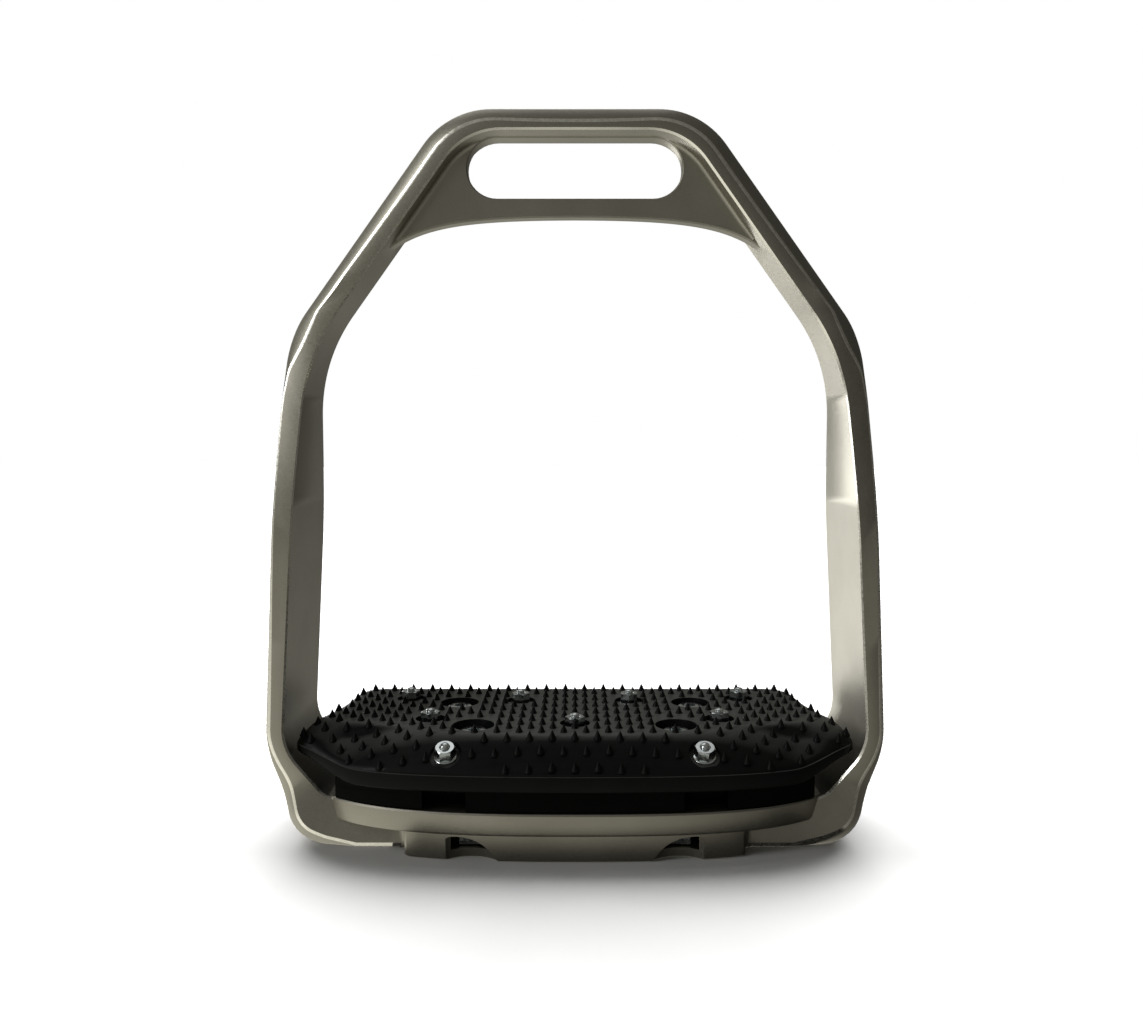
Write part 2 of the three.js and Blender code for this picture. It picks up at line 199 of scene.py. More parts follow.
class Nodes:
    """A short way to build one node tree."""

    def __init__(self, name):
        self.material = bpy.data.materials.new(name)
        self.material.use_nodes = True
        self.tree = self.material.node_tree
        self.shader = self.tree.nodes["Principled BSDF"]
        self.place = self.tree.nodes.new("ShaderNodeTexCoord").outputs["Object"]

    def add(self, kind, **settings):
        """A new node, with each setting put on its property or its input of that name."""
        node = self.tree.nodes.new(kind)
        for key, value in settings.items():
            if hasattr(node, key):
                setattr(node, key, value)
            else:
                node.inputs[key.replace("_", " ")].default_value = value
        return node

    def link(self, out, into):
        self.tree.links.new(out, into)

    def noise(self, size_mm, detail=3.0, stretch=(1, 1, 1)):
        """Noise with a feature size in millimetres, stretched along some axes."""
        mapping = self.add("ShaderNodeMapping")
        mapping.inputs["Scale"].default_value = [1 / (size_mm * MM * s) for s in stretch]
        self.link(self.place, mapping.inputs["Vector"])
        noise = self.add("ShaderNodeTexNoise", Scale=1.0, Detail=detail)
        self.link(mapping.outputs["Vector"], noise.inputs["Vector"])
        return noise.outputs["Fac"]

    def between(self, factor, low, high, start=0.3, end=0.7):
        """Maps noise to a range of numbers."""
        node = self.add("ShaderNodeMapRange")
        for key, value in (("From Min", start), ("From Max", end), ("To Min", low), ("To Max", high)):
            node.inputs[key].default_value = value
        self.link(factor, node.inputs["Value"])
        return node.outputs["Result"]

    def blend(self, factor, first, second):
        """Mixes two colours."""
        node = self.add("ShaderNodeMix", data_type="RGBA")
        colours = [s for s in node.inputs if s.type == "RGBA"]
        for socket, colour in zip(colours, (first, second)):
            if isinstance(colour, tuple):
                socket.default_value = (*colour, 1)
            else:
                self.link(colour, socket)
        self.link(factor, node.inputs["Factor"])
        return [s for s in node.outputs if s.type == "RGBA"][0]

    def facing_up(self, start, end):
        """How level the surface is: the tread's painted sheen goes where it faces straight up."""
        place = self.tree.nodes["Texture Coordinate"]
        parts = self.add("ShaderNodeSeparateXYZ")
        self.link(place.outputs["Normal"], parts.inputs["Vector"])
        return self.between(parts.outputs["Z"], 0, 1, start, end)

    def bump(self, heights):
        """Stacks bumps: (height, strength, depth in millimetres) each."""
        normal = None
        for height, strength, depth in heights:
            node = self.add("ShaderNodeBump")
            node.inputs["Strength"].default_value = strength
            node.inputs["Distance"].default_value = depth * MM
            self.link(height, node.inputs["Height"])
            if normal:
                self.link(normal, node.inputs["Normal"])
            normal = node.outputs["Normal"]
        self.link(normal, self.shader.inputs["Normal"])

    def set(self, **values):
        """Sets constants on the shader's own sockets."""
        for key, value in values.items():
            self.shader.inputs[key.replace("_", " ")].default_value = value

    def colour(self, out):
        self.link(out, self.shader.inputs["Base Color"])

    def roughness(self, out):
        self.link(out, self.shader.inputs["Roughness"])


def blasted_metal():
    """Warm grey anodised aluminium with a fine blasted grain."""
    m = Nodes("blasted_metal")
    cloud = m.noise(14, 4)
    grain = m.noise(0.32, 2)
    tone = m.blend(m.between(cloud, 0, 1), (0.30, 0.285, 0.24), (0.35, 0.335, 0.285))
    m.colour(m.blend(m.between(grain, 0, 0.3), tone, (0.45, 0.44, 0.39)))
    m.set(Metallic=1.0)
    m.roughness(m.between(grain, 0.33, 0.47))
    m.bump([(grain, 0.35, 0.03), (cloud, 0.05, 0.2)])
    return m.material


def edge_highlight():
    """The narrow edges, paler than the faces: partly bare metal cut clean, partly a painted highlight
    where the rounded edges catch the light; slightly worn.
    """
    m = Nodes("edge_highlight")
    scuff = m.noise(0.8, 4)
    # Both tones are paler than the faces: partly the bare cut metal, partly a painted highlight.
    m.colour(m.blend(m.between(scuff, 0, 1), (0.74, 0.72, 0.64), (0.90, 0.885, 0.82)))
    m.set(Metallic=1.0)
    m.roughness(m.between(scuff, 0.22, 0.36))
    m.bump([(m.noise(0.2, 2), 0.2, 0.02)])
    return m.material


def black_tread():
    """Black satin tread: a fine moulded texture, faint long flow marks and a paler painted sheen on its
    level top.
    """
    m = Nodes("black_tread")
    cloud = m.noise(9, 4)
    grain = m.noise(0.22, 3)
    flow = m.noise(1.2, 2, stretch=(9, 1, 1))
    black = m.blend(m.between(cloud, 0, 1), (0.0022, 0.0030, 0.0030), (0.0048, 0.0054, 0.0052))
    # A paler colour painted on the level top: a painted sheen that stands in for the light it reflects,
    # not dust.
    painted_sheen = m.blend(m.between(cloud, 0, 1), (0.080, 0.084, 0.079), (0.105, 0.109, 0.103))
    m.colour(m.blend(m.facing_up(0.86, 0.985), black, painted_sheen))
    m.set(Specular_IOR_Level=0.13)
    m.roughness(m.between(flow, 0.36, 0.5))
    m.bump([(grain, 0.4, 0.02), (flow, 0.12, 0.03)])
    return m.material


def black_spike():
    """The spikes: the same black, a little worn and paler in patches."""
    m = Nodes("black_spike")
    wear = m.noise(0.6, 3)
    worn = m.between(wear, 0, 1, 0.5, 0.8)
    m.colour(m.blend(worn, (0.0016, 0.0018, 0.0018), (0.007, 0.007, 0.0066)))
    m.set(Specular_IOR_Level=0.14)
    m.roughness(m.between(wear, 0.38, 0.6))
    m.bump([(m.noise(0.18, 2), 0.3, 0.02)])
    return m.material


def dull_spacer():
    """Dull black spacer with fine level machining lines."""
    m = Nodes("dull_spacer")
    lines = m.noise(0.3, 2, stretch=(40, 40, 1))
    cloud = m.noise(6, 3)
    m.colour(m.blend(m.between(cloud, 0, 1), (0.0006, 0.0007, 0.0007), (0.0016, 0.0017, 0.0017)))
    m.set(Specular_IOR_Level=0.05)
    m.roughness(m.between(lines, 0.5, 0.68))
    m.bump([(lines, 0.25, 0.03)])
    return m.material


def bright_steel():
    """Bright zinc-plated steel: a cool sheen with faint turning lines and a mottled gloss."""
    m = Nodes("bright_steel")
    mottle = m.noise(0.7, 3)
    turning = m.noise(0.12, 2, stretch=(14, 14, 1))
    m.colour(m.blend(m.between(mottle, 0, 1), (0.50, 0.545, 0.56), (0.74, 0.775, 0.78)))
    m.set(Metallic=1.0)
    m.roughness(m.between(mottle, 0.12, 0.27))
    m.bump([(turning, 0.25, 0.015)])
    return m.material


# The second frame material carries the painted highlight along the narrow edges.
METAL = [blasted_metal(), edge_highlight()]
TREAD_BLACK = [black_tread()]
SPIKE_BLACK = [black_spike()]
SPACER_BLACK = [dull_spacer()]
STEEL = [bright_steel()]

# ---- driving dimensions, in millimetres ----

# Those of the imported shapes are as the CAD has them. EDGE and OUTER_EDGE are the widths of the
# frame's cut edges, and HAIR keeps two faces that meet from lying in one plane.

FRAME_HEIGHT = top_of("frame")
TOP_BAR = 5.4
BASE_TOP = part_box("tread_spacer")[0][2] / MM
LIP_BOTTOM = 5.8
BAR_TOP = 10.3
ARM_DEPTH_TOP = 14
ARM_DEPTH_LOW = 29
ARM_DEPTH_BASE = 34.8
EDGE = 0.45
OUTER_EDGE = 0.48
HAIR = 0.02
WEB_HALF = 1.9
WEB_EASE = 0.35
ARCH_FOOT = (50, 127)
ARCH_CROWN = 141.8
FILLET = dict(start=133, full=140, least=0.1, size=1)
SLOT = dict(half_width=24.6, bottom=146, top=FRAME_HEIGHT - TOP_BAR - 0.3, flare=1.5)
LIP = dict(half_width=60.3, half_depth=25.9, power=2.65)
PAD_HALF_WIDTH = 37.4
PAD_INSET = 0.9
TREAD = dict(half_depth=26.3, top=26, rear_fall=1, bottom=15.6, tip_lift=4.4)
ROLL = dict(fall=0.9, front_fall=5.9, start=0.95, front_start=0.29, power=1.35)
TREAD_HOLE_RADIUS = 4.75
TREAD_SEAT = 22.6
SCREW_RADIUS = 2
SCREW_BORE = SCREW_RADIUS + 0.25
SCREW_HEAD = dict(radius=3.9, rim=0.3, flat=1.9, dome=1.75, socket=2.5)
SPACER = dict(half_width=53.8, set_in=0.8, window=(23.6, 33.2), window_depth=6)
POCKET = dict(bottom=1.9, top=5.4, half_width=4.5, behind=4.5, mouth=22.9)
SCALLOP = dict(radius=8.5, out=30.2, shift=0.6)
NUT_BAR = dict(half_width=4, nose_half_width=2.1, nose=20.8, shoulder=17.5, behind=4, height=3.2)

# ---- the frame ----

# Corners of the right-hand half of each outline, bottom to top: X, Z, corner radius.
OUTER_CORNERS = [
    (0, 0, 0),
    (63.1, 0, 9.5),
    (69.9, 21.4, 30),
    (65.3, 114.6, 22),
    (28.5, FRAME_HEIGHT, 19),
    (0, FRAME_HEIGHT, 0),
]
INNER_CORNERS = [
    (0, BAR_TOP, 0),
    (56.2, BAR_TOP, 6),
    (65.8, 21.6, 12),
    (60.7, 109.9, 45),
    (24.4, FRAME_HEIGHT - TOP_BAR, 16),
    (0, FRAME_HEIGHT - TOP_BAR, 0),
]
ARC_STEPS = 16
LEG_STEPS = (8, 10, 30, 8, 6)


def half_outline(corners):
    """The half outline as points: each leg in equal steps and each corner as an arc."""
    at = [Vector((x, z)) for x, z, _ in corners]
    points = []
    start = at[0]
    for i in range(1, len(at)):
        radius = corners[i][2]
        arc_start = at[i]
        arc = []
        if radius:
            inward = (at[i - 1] - at[i]).normalized()
            onward = (at[i + 1] - at[i]).normalized()
            half = math.acos(inward.dot(onward)) / 2
            reach = radius / math.tan(half)
            arc_start = at[i] + inward * reach
            centre = at[i] + (inward + onward).normalized() * (radius / math.sin(half))
            sweep = math.pi - 2 * half
            for k in range(1, ARC_STEPS + 1):
                spoke = (arc_start - centre).to_3d()
                spoke.rotate(Matrix.Rotation(sweep * k / ARC_STEPS, 3, "Z"))
                arc.append(centre + spoke.to_2d())
        steps = LEG_STEPS[i - 1]
        for k in range(0 if i == 1 else 1, steps + 1):
            points.append(start.lerp(arc_start, k / steps))
        points += arc
        start = points[-1]
    return points


def arm_half_depth(z):
    """Half the depth of the arms at a height: slim beside the slot, wide beside the foot."""
    low = ARM_DEPTH_LOW / 2
    slim = (ARM_DEPTH_TOP / 2 - low) * smooth(66, 118, z)
    base = (ARM_DEPTH_BASE / 2 - low) * (1 - smooth(0, 13, z))
    return low + slim + base


def outer_bevel(x, z):
    """Width of the outer bevel: broad round the bow and the bottom corners, slim on the arms."""
    bow = 2.7 * smooth(98, 115, z)
    corner = 2.3 * (1 - smooth(10, 26, z)) * smooth(49, 60, abs(x))
    return 0.7 + bow + corner


# Which strips round a ring section are cut edges: the narrow ones at its corners.
SECTION_SLOTS = [1, 0, 1, 0, 1, 0, 1, 0, 1, 0, 1, 0]


def ring_section(inner, outer):
    """One closed section through the ribbon, with a narrow cut edge at each corner."""
    across = (outer - inner).normalized()
    bevel = outer_bevel(outer.x, outer.y)
    inner_half = arm_half_depth(inner.y)
    outer_half = arm_half_depth(outer.y)
    drop = 0.85 * bevel
    slope = Vector((bevel, drop)).normalized() * OUTER_EDGE
    low_slope = slope * 0.6
    half = [
        (inner, inner_half - EDGE),
        (inner + across * EDGE, inner_half),
        (outer - across * (bevel + OUTER_EDGE), outer_half),
        (outer - across * (bevel - slope.x), outer_half - slope.y),
        (outer - across * low_slope.x, outer_half - drop + low_slope.y),
        (outer, outer_half - drop - EDGE * 0.4),
    ]
    front = [(p.x, -y, p.y) for p, y in half]
    back = [(p.x, y, p.y) for p, y in reversed(half)]
    return front + back


def frame_ring():
    """The bow, arms and base bar: one closed ring of sections round both halves."""
    pairs = list(zip(half_outline(INNER_CORNERS), half_outline(OUTER_CORNERS)))
    flip = Vector((-1, 1))
    left = [(p * flip, q * flip) for p, q in reversed(pairs[1:-1])]
    sections = [ring_section(p, q) for p, q in pairs + left]
    return loops("frame_fine", sections, METAL, closed=True, slots=SECTION_SLOTS)


def across_plate(name, layers):
    """A solid through front-view outlines (X, Z), each with its Y: front to back."""
    return loops(name, [[(x, y, z) for x, z in outline] for outline, y in layers], METAL)


def web_plate():
    """The thin web that closes the top of the bow down to the arch, with eased edges."""
    half = [ARCH_FOOT, (41, 139.5), (32, ARCH_CROWN - 0.1), (0, ARCH_CROWN)]
    left = [(-x, z) for x, z in half]
    arch = [left[0], *bezier(left, 28), *bezier(half[::-1], 28)]
    buried = [(53, 128), (26, FRAME_HEIGHT - 3)]
    outline = arch + buried + [(-x, z) for x, z in reversed(buried)]
    eased = inset(outline, WEB_EASE)
    layers = [
        (eased, -WEB_HALF),
        (outline, WEB_EASE - WEB_HALF),
        (outline, WEB_HALF - WEB_EASE),
        (eased, WEB_HALF),
    ]
    return across_plate("web", layers)


def web_fillet(side):
    """The small hollow fillet where the web meets the bow, on one face of the web.

    It starts thin above the ends of the arch and is buried a little in both the bow and the web.
    """
    inner = half_outline(INNER_CORNERS)
    flip = Vector((-1, 1))
    in_bow = -0.4
    in_web = -0.6
    turns = [k * math.pi / 12 for k in range(7)]
    path = [p for p in inner if p.y > FILLET["start"] + 0.5]
    path += [p * flip for p in reversed(path[:-1])]
    rings = []
    for i, p in enumerate(path):
        along = (path[min(i + 1, len(path) - 1)] - path[max(i - 1, 0)]).normalized()
        inward = Vector((-along.y, along.x))
        grown = smooth(FILLET["start"], FILLET["full"], p.y)
        size = FILLET["least"] + (FILLET["size"] - FILLET["least"]) * grown
        curve = [(size * (1 - math.sin(a)), size * (1 - math.cos(a))) for a in turns]
        section = [(in_bow, in_web), (size, in_web), *curve, (in_bow, size)]
        ring = [(*(p + inward * d), y) for d, y in section]
        rings.append([(x, side * (WEB_HALF + y), z) for x, z, y in ring])
    return loops("fillet", rings, METAL)


def strap_slot_cutter():
    """A round-ended hole through the web, eased at both faces and flared behind it."""
    radius = (SLOT["top"] - SLOT["bottom"]) / 2
    middle = (SLOT["top"] + SLOT["bottom"]) / 2
    reach = SLOT["half_width"] - radius

    def stadium(extra):
        """The slot's outline, made larger all round by a little."""
        outline = []
        for side, turn in ((1, -0.5), (-1, 0.5)):
            for k in range(21):
                a = math.pi * (turn + k / 20)
                x = side * reach + (radius + extra) * math.cos(a)
                outline.append((x, middle + (radius + extra) * math.sin(a)))
        return outline

    ease = 0.25
    in_front = -3.6
    behind = ARM_DEPTH_TOP / 2 + 0.5
    layers = [
        (stadium(ease), in_front),
        (stadium(ease), -WEB_HALF),
        (stadium(0), ease - WEB_HALF),
        (stadium(0), WEB_HALF - ease),
        (stadium(ease), WEB_HALF),
        (stadium(SLOT["flare"]), behind),
    ]
    return across_plate("slot", layers)


def lip_plate():
    """The broad lip under the tread spacer, with eased edges."""
    plan = superellipse(LIP["half_width"], LIP["half_depth"], LIP["power"])
    under = inset(plan, 0.7)
    layers = [
        (under, LIP_BOTTOM - HAIR),
        (inset(plan, 0.2), LIP_BOTTOM + 0.25),
        (plan, LIP_BOTTOM + 0.8),
        (plan, BASE_TOP - 0.35),
        (inset(plan, 0.35), BASE_TOP - HAIR),
    ]
    return stack("lip", layers, METAL)


def pad_plate():
    """The thick middle of the base: bowed front and back, with a hollow fillet at each end."""
    a = LIP["half_width"] - PAD_INSET
    b = LIP["half_depth"] - PAD_INSET
    power = LIP["power"]
    fillet = 1.9
    end = PAD_HALF_WIDTH
    arm = ARM_DEPTH_BASE / 2 - 0.1
    steps = 20
    bow = []
    for i in range(steps + 1):
        x = end * i / steps
        bow.append((x, -b * (1 - (x / a) ** power) ** (1 / power)))
    hollow = []
    for k in range(9):
        turn = math.pi / 2 * k / 8
        hollow.append((end + fillet * (1 - math.cos(turn)), -arm - fillet * (1 - math.sin(turn))))
    corner = bow[-1][1]
    half = bow[:-1] + [(end - 0.5, corner), (end, corner + 0.6)] + hollow
    half += [(x, -y) for x, y in reversed(half)]
    plan = half + [(-x, y) for x, y in reversed(half[1:-1])]
    layers = [
        (inset(plan, 0.4), 0),
        (plan, 0.4),
        (plan, LIP_BOTTOM + 0.5),
    ]
    return stack("pad", layers, METAL)


def box_cutter(low, high, materials=METAL):
    """A plain box between two corners, to cut or trim with."""
    (x0, y0, z0), (x1, y1, z1) = low, high
    plan = [(x0, y0), (x1, y0), (x1, y1), (x0, y1)]
    return stack("box", [(plan, z0), (plan, z1)], materials)


def moved(piece, x, y):
    """Moves a piece's mesh across the plan."""
    piece.data.transform(Matrix.Translation(Vector((x, y, 0)) * MM))
    return piece


def drill(radius, low, high, x, y, mouth=0.0, sides=48, materials=METAL):
    """A round cutter, with a countersink of a given width where it leaves the top."""
    profile = [(radius, low), (radius, high - mouth), (radius + mouth, high)]
    if mouth:
        profile.append((radius + mouth, high + 8))
    return moved(lathe("drill", profile, materials, sides), x, y)


def scallop_cutter(x, outward):
    """The arched bite in the pad's edge that leads to one nut's pocket."""
    side = math.copysign(1, x)
    arch = bezier([(-6.6, 0), (-4.8, 2.8), (-2.3, 5.3), (2.5, 5.3)], 12)
    arch += bezier([(2.5, 5.3), (5.6, 5.4), (7, 3), (5.4, 0)], 12)
    outline = [(x + side * out, z) for out, z in [(-6.9, -1), (-6.6, 0), *arch, (5.2, -1)]]
    reach = LIP["half_depth"] + 2
    slab = across_plate("slab", [(outline, -reach), (outline, reach)])
    middle = x - side * SCALLOP["shift"]
    bite = drill(SCALLOP["radius"], -2, LIP_BOTTOM, middle, outward * SCALLOP["out"], sides=96)
    return boolean(slab, bite, "INTERSECT")


def screw_spots():
    """The places of the four tread screws, from the CAD."""
    spots = {}
    for row in ("front", "rear"):
        for side in ("left", "right"):
            spots[f"{row}_{side}"] = centre_of(f"tread_screw_{row}_{side}")
    return spots


def make_frame():
    """The metal frame, with its slot, pockets, scallops and screw holes."""
    body = frame_ring()
    boolean(body, web_plate(), "UNION")
    for side in (-1, 1):
        boolean(body, web_fillet(side), "UNION")
    boolean(body, strap_slot_cutter(), "DIFFERENCE")
    boolean(body, lip_plate(), "UNION")
    boolean(body, pad_plate(), "UNION")
    for spot in screw_spots().values():
        x, y = spot.x, spot.y
        outward = math.copysign(1, y)
        ends = sorted((y - outward * POCKET["behind"], outward * POCKET["mouth"]))
        half = POCKET["half_width"]
        low = (x - half, ends[0], POCKET["bottom"])
        boolean(body, box_cutter(low, (x + half, ends[1], POCKET["top"])), "DIFFERENCE")
        boolean(body, scallop_cutter(x, outward), "DIFFERENCE")
        boolean(body, drill(SCREW_BORE, -1, BASE_TOP + 1, x, y), "DIFFERENCE")
    crisp(body)
    keep(body, "frame")


# ---- the tread ----


def tread_plan():
    """The tread's outline: bowed front, wings between the arms, drawn-in flanks, squarer back."""
    b = TREAD["half_depth"]
    right = [(0.0, -float(b))]
    right += bezier([(0, -b), (28, -b), (43, -24.3), (51, -19.6)], 40)
    right += bezier([(51, -19.6), (55.5, -17), (59, -14.8), (61.8, -12.9)], 16)
    right += bezier([(61.8, -12.9), (64, -11.3), (64.3, -9.4), (63.2, -6.6)], 16)
    right += bezier([(63.2, -6.6), (61.2, -1.8), (58.7, 5), (57.6, 13)], 22)
    right += bezier([(57.6, 13), (57.4, 15.8), (57.1, 18.7), (56.9, 21.5)], 6)
    right += bezier([(56.9, 21.5), (56.4, 25), (54.9, b), (52.4, b)], 14)
    right += [(52.4 * (1 - k / 24), float(b)) for k in range(1, 25)]
    return right + [(-x, y) for x, y in reversed(right[1:-1])]


def wing_rise(x):
    """How far out a point is along a wing, 0 to 1."""
    return smooth(48, 64, abs(x))


def tread_bottom(x):
    """Height of the underside, which lifts towards the wing tips."""
    return TREAD["bottom"] + TREAD["tip_lift"] * wing_rise(x)


def tread_top(x, y, share):
    """Height of the top: a plateau that falls a little to the back and rolls off at its rim.

    The roll is deep and wide along the front, less so on the wings and slight at the back.
    share is 1 on the rim and 0 in the middle of the plan.
    """
    b = TREAD["half_depth"]
    plateau = TREAD["top"] - TREAD["rear_fall"] * (y + b) / (2 * b)
    front = 1 - smooth(-12, -1, y)
    fall = ROLL["fall"] + ROLL["front_fall"] * front * (1 - 0.49 * wing_rise(x))
    start = ROLL["start"] - ROLL["front_start"] * front * (1 - 0.85 * wing_rise(x))
    roll = max(0.0, (share - start) / (1 - start))
    return plateau - fall * roll ** ROLL["power"]


def plan_share(plan, x, y):
    """How far out a point is, from 0 in the middle of the plan to 1 on its rim."""
    turn = math.atan2(y, x)

    def turn_to(point):
        """The angle between a point of the outline and the place, seen from the middle."""
        return abs(math.remainder(math.atan2(point[1], point[0]) - turn, math.tau))

    return math.hypot(x, y) / math.hypot(*min(plan, key=turn_to))


def tread_solid(plan):
    """The tread before its holes: rings up the wall, in over the top, and back out below."""
    rings = []
    ease = 0.35
    for lift, tuck in ((0, ease), (ease, 0)):
        rim = inset(plan, tuck)
        rings.append([(x, y, tread_bottom(x) + lift) for x, y in rim])
    for lift, tuck in ((-ease, 0), (-ease * 0.3, ease * 0.3), (0, ease)):
        rim = inset(plan, tuck)
        rings.append([(x, y, tread_top(x, y, 1) + lift) for x, y in rim])
    shares = [0.985 - 0.02 * k for k in range(22)] + [0.5, 0.4, 0.3, 0.2, 0.1, 0.02]
    for share in shares:
        rings.append([(x * share, y * share, tread_top(x * share, y * share, share)) for x, y in plan])
    sole = []
    for share in (0.75, 0.86, 0.93):
        sole.append([(x * share, y * share, tread_bottom(x * share)) for x, y in plan])
    return loops("tread_fine", [*sole, *rings], TREAD_BLACK)


STUDS = [
    "front_left",
    "front_right",
    "middle_left",
    "middle_centre",
    "middle_right",
    "rear_outer_left",
    "rear_inner_left",
    "rear_inner_right",
    "rear_outer_right",
]
FRONT_LEAN = math.radians(23)
STUD_RECESS = 3.5
WASHER_HEIGHT = 0.35
NUT_HEIGHT = 2.5
STUD_TIP = 1.0
STUD_RADIUS = 1
STUD_HEAD = dict(radius=2, bottom=-3.6, seat=-2.2)
FIT = 0.05


def stud_matrix(place):
    """Stands a solid made round the origin at the floor of a stud's recess."""
    spot = centre_of(f"grip_washer_{place}")
    lean = FRONT_LEAN if place.startswith("front") else 0.0
    turn = Matrix.Rotation(lean, 4, "X")
    floor = spot - turn.to_3x3() @ Vector((0, 0, WASHER_HEIGHT / 2 + FIT / 2))
    return Matrix.Translation(floor * MM) @ turn


def at_stud(piece, place):
    """Moves a piece's mesh from the origin to a stud's recess."""
    piece.data.transform(stud_matrix(place))
    return piece


def make_tread():
    """The tread plate, with its screw holes and stud recesses, and its spikes."""
    plan = tread_plan()
    body = tread_solid(plan)
    wide = STUD_HEAD["radius"] + 0.3
    narrow = STUD_RADIUS + 0.2
    seat = STUD_HEAD["seat"]
    bore_profile = [(wide, -30), (wide, seat), (narrow, seat), (narrow, 1)]
    for spot in screw_spots().values():
        mouth = drill(TREAD_HOLE_RADIUS, TREAD_SEAT, 25.9, spot.x, spot.y, 0.35, 64, TREAD_BLACK)
        boolean(body, mouth, "DIFFERENCE")
        bore = drill(SCREW_BORE, 0, 30, spot.x, spot.y, materials=TREAD_BLACK)
        boolean(body, bore, "DIFFERENCE")
    for place in STUDS:
        recess = lathe("recess", [(STUD_RECESS, 0), (STUD_RECESS, 9)], TREAD_BLACK, 48)
        boolean(body, at_stud(recess, place), "DIFFERENCE")
        bore = lathe("bore", bore_profile, TREAD_BLACK, 24)
        boolean(body, at_stud(bore, place), "DIFFERENCE")
    crisp(body, 32)
    keep(body, "tread_plate")
    make_spikes(plan)


SPIKE = dict(
    pitch=5.0,
    row=3.2,
    first=-25.0,
    rows=16,
    columns=13,
    height=1.75,
    radius=0.9,
    rim_gap=1.05,
    screw_gap=5.6,
    stud_gap=4.1,
)
# A spike's outline: (radius, height) as shares of the spike's own radius and height.
SPIKE_PROFILE = [(1.1, -0.2), (1, 0), (0.92, 0.06), (0.54, 0.5), (0.13, 0.95), (0.05, 1.0)]
SPIKE_SIDES = 10


def spike_spots(plan):
    """The feet of the spikes: staggered rows, clear of the tread's holes and its rim."""
    holes = [(spot.x, spot.y, SPIKE["screw_gap"]) for spot in screw_spots().values()]
    for place in STUDS:
        spot = centre_of(f"grip_washer_{place}")
        holes.append((spot.x, spot.y, SPIKE["stud_gap"]))
    spots = []
    for row in range(SPIKE["rows"]):
        y = SPIKE["first"] + SPIKE["row"] * row
        for column in range(-SPIKE["columns"], SPIKE["columns"] + 1):
            x = SPIKE["pitch"] * (column + 0.5 * (row % 2))
            share = plan_share(plan, x, y)
            near_rim = min(math.hypot(x - a, y - b) for a, b in plan) < SPIKE["rim_gap"]
            near_hole = any(math.hypot(x - a, y - b) < gap for a, b, gap in holes)
            if share <= 1 and not near_rim and not near_hole:
                spots.append((x, y, tread_top(x, y, share)))
    return spots


def make_spikes(plan):
    """All the small cones that stand on the tread, as one piece."""
    points = []
    faces = []
    sides = SPIKE_SIDES
    last = (len(SPIKE_PROFILE) - 1) * sides
    for x, y, z in spike_spots(plan):
        base = len(points)
        for radius, height in SPIKE_PROFILE:
            for cx, cy in circle(SPIKE["radius"] * radius, sides, 0.3):
                points.append((x + cx, y + cy, z + SPIKE["height"] * height))
        for ring in range(len(SPIKE_PROFILE) - 1):
            for k in range(sides):
                a = base + ring * sides + k
                b = base + ring * sides + (k + 1) % sides
                faces.append((a, b, b + sides, a + sides))
        faces.append(tuple(base + k for k in reversed(range(sides))))
        faces.append(tuple(base + last + k for k in range(sides)))
    spikes = solid("tread_spikes", points, faces, SPIKE_BLACK)
    crisp(spikes, 50)
    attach(spikes, "root")


def make_spacer():
    """The spacer: set in from the lip, square at its ends, with a window beside each screw."""
    end = SPACER["half_width"]
    depth = LIP["half_depth"] - SPACER["set_in"]
    plan = superellipse(LIP["half_width"] + 1, depth, LIP["power"])
    low = BASE_TOP + HAIR
    high = TREAD["bottom"] - HAIR
    ease = 0.25
    layers = [
        (inset(plan, ease), low),
        (plan, low + ease),
        (plan, high),
    ]
    body = stack("spacer_fine", layers, SPACER_BLACK)
    trim = box_cutter((-end, -30, low - 1), (end, 30, high + 1), SPACER_BLACK)
    boolean(body, trim, "INTERSECT")
    for side in (-1, 1):
        xs = sorted(side * x for x in SPACER["window"])
        for face in (-1, 1):
            ys = sorted((face * (depth - SPACER["window_depth"]), face * 40))
            window = box_cutter((xs[0], ys[0], low - 1), (xs[1], ys[1], high + 1), SPACER_BLACK)
            boolean(body, window, "DIFFERENCE")
    for spot in screw_spots().values():
        bore = drill(SCREW_BORE, 0, 30, spot.x, spot.y, materials=SPACER_BLACK)
        boolean(body, bore, "DIFFERENCE")
    crisp(body, 20)
    keep(body, "tread_spacer")


# ---- the fasteners ----


def hex_cutter(across, low, high):
    """A six-sided prism of a given width across its flats."""
    plan = circle(across / math.sqrt(3), 6, math.pi / 6)
    return stack("hex", [(plan, low), (plan, high)], STEEL)


def hex_nut(name, across, height, hole):
    """A hex nut with turned-off corners and a countersunk hole, its seat at Z = 0."""
    corner = across / math.sqrt(3)
    shrink = corner - across / 2
    drop = shrink * 0.6
    profile = [
        (across / 2, 0),
        (corner, drop),
        (corner, height - drop),
        (across / 2, height),
    ]
    body = lathe(name, profile, STEEL, 48)
    boolean(body, hex_cutter(across, -1, height + 1), "INTERSECT")
    sink = hole * 1.15
    bore = [(sink, -0.01), (hole, 0.2), (hole, height - 0.2), (sink, height + 0.01)]
    boolean(body, lathe("bore", bore, STEEL, 32), "DIFFERENCE")
    return body


def thread_profile(radius, low, high, pitch):
    """A shank's outline with ridges at a thread's pitch and a rounded top."""
    profile = []
    root = radius * 0.86
    turns = int((high - low) / pitch)
    for k in range(turns):
        z = low + k * pitch
        profile += [(root, z), (radius, z + pitch * 0.45), (radius, z + pitch * 0.6)]
    profile += [(root, low + turns * pitch), (radius * 0.8, high), (radius * 0.3, high + pitch * 0.4)]
    return profile


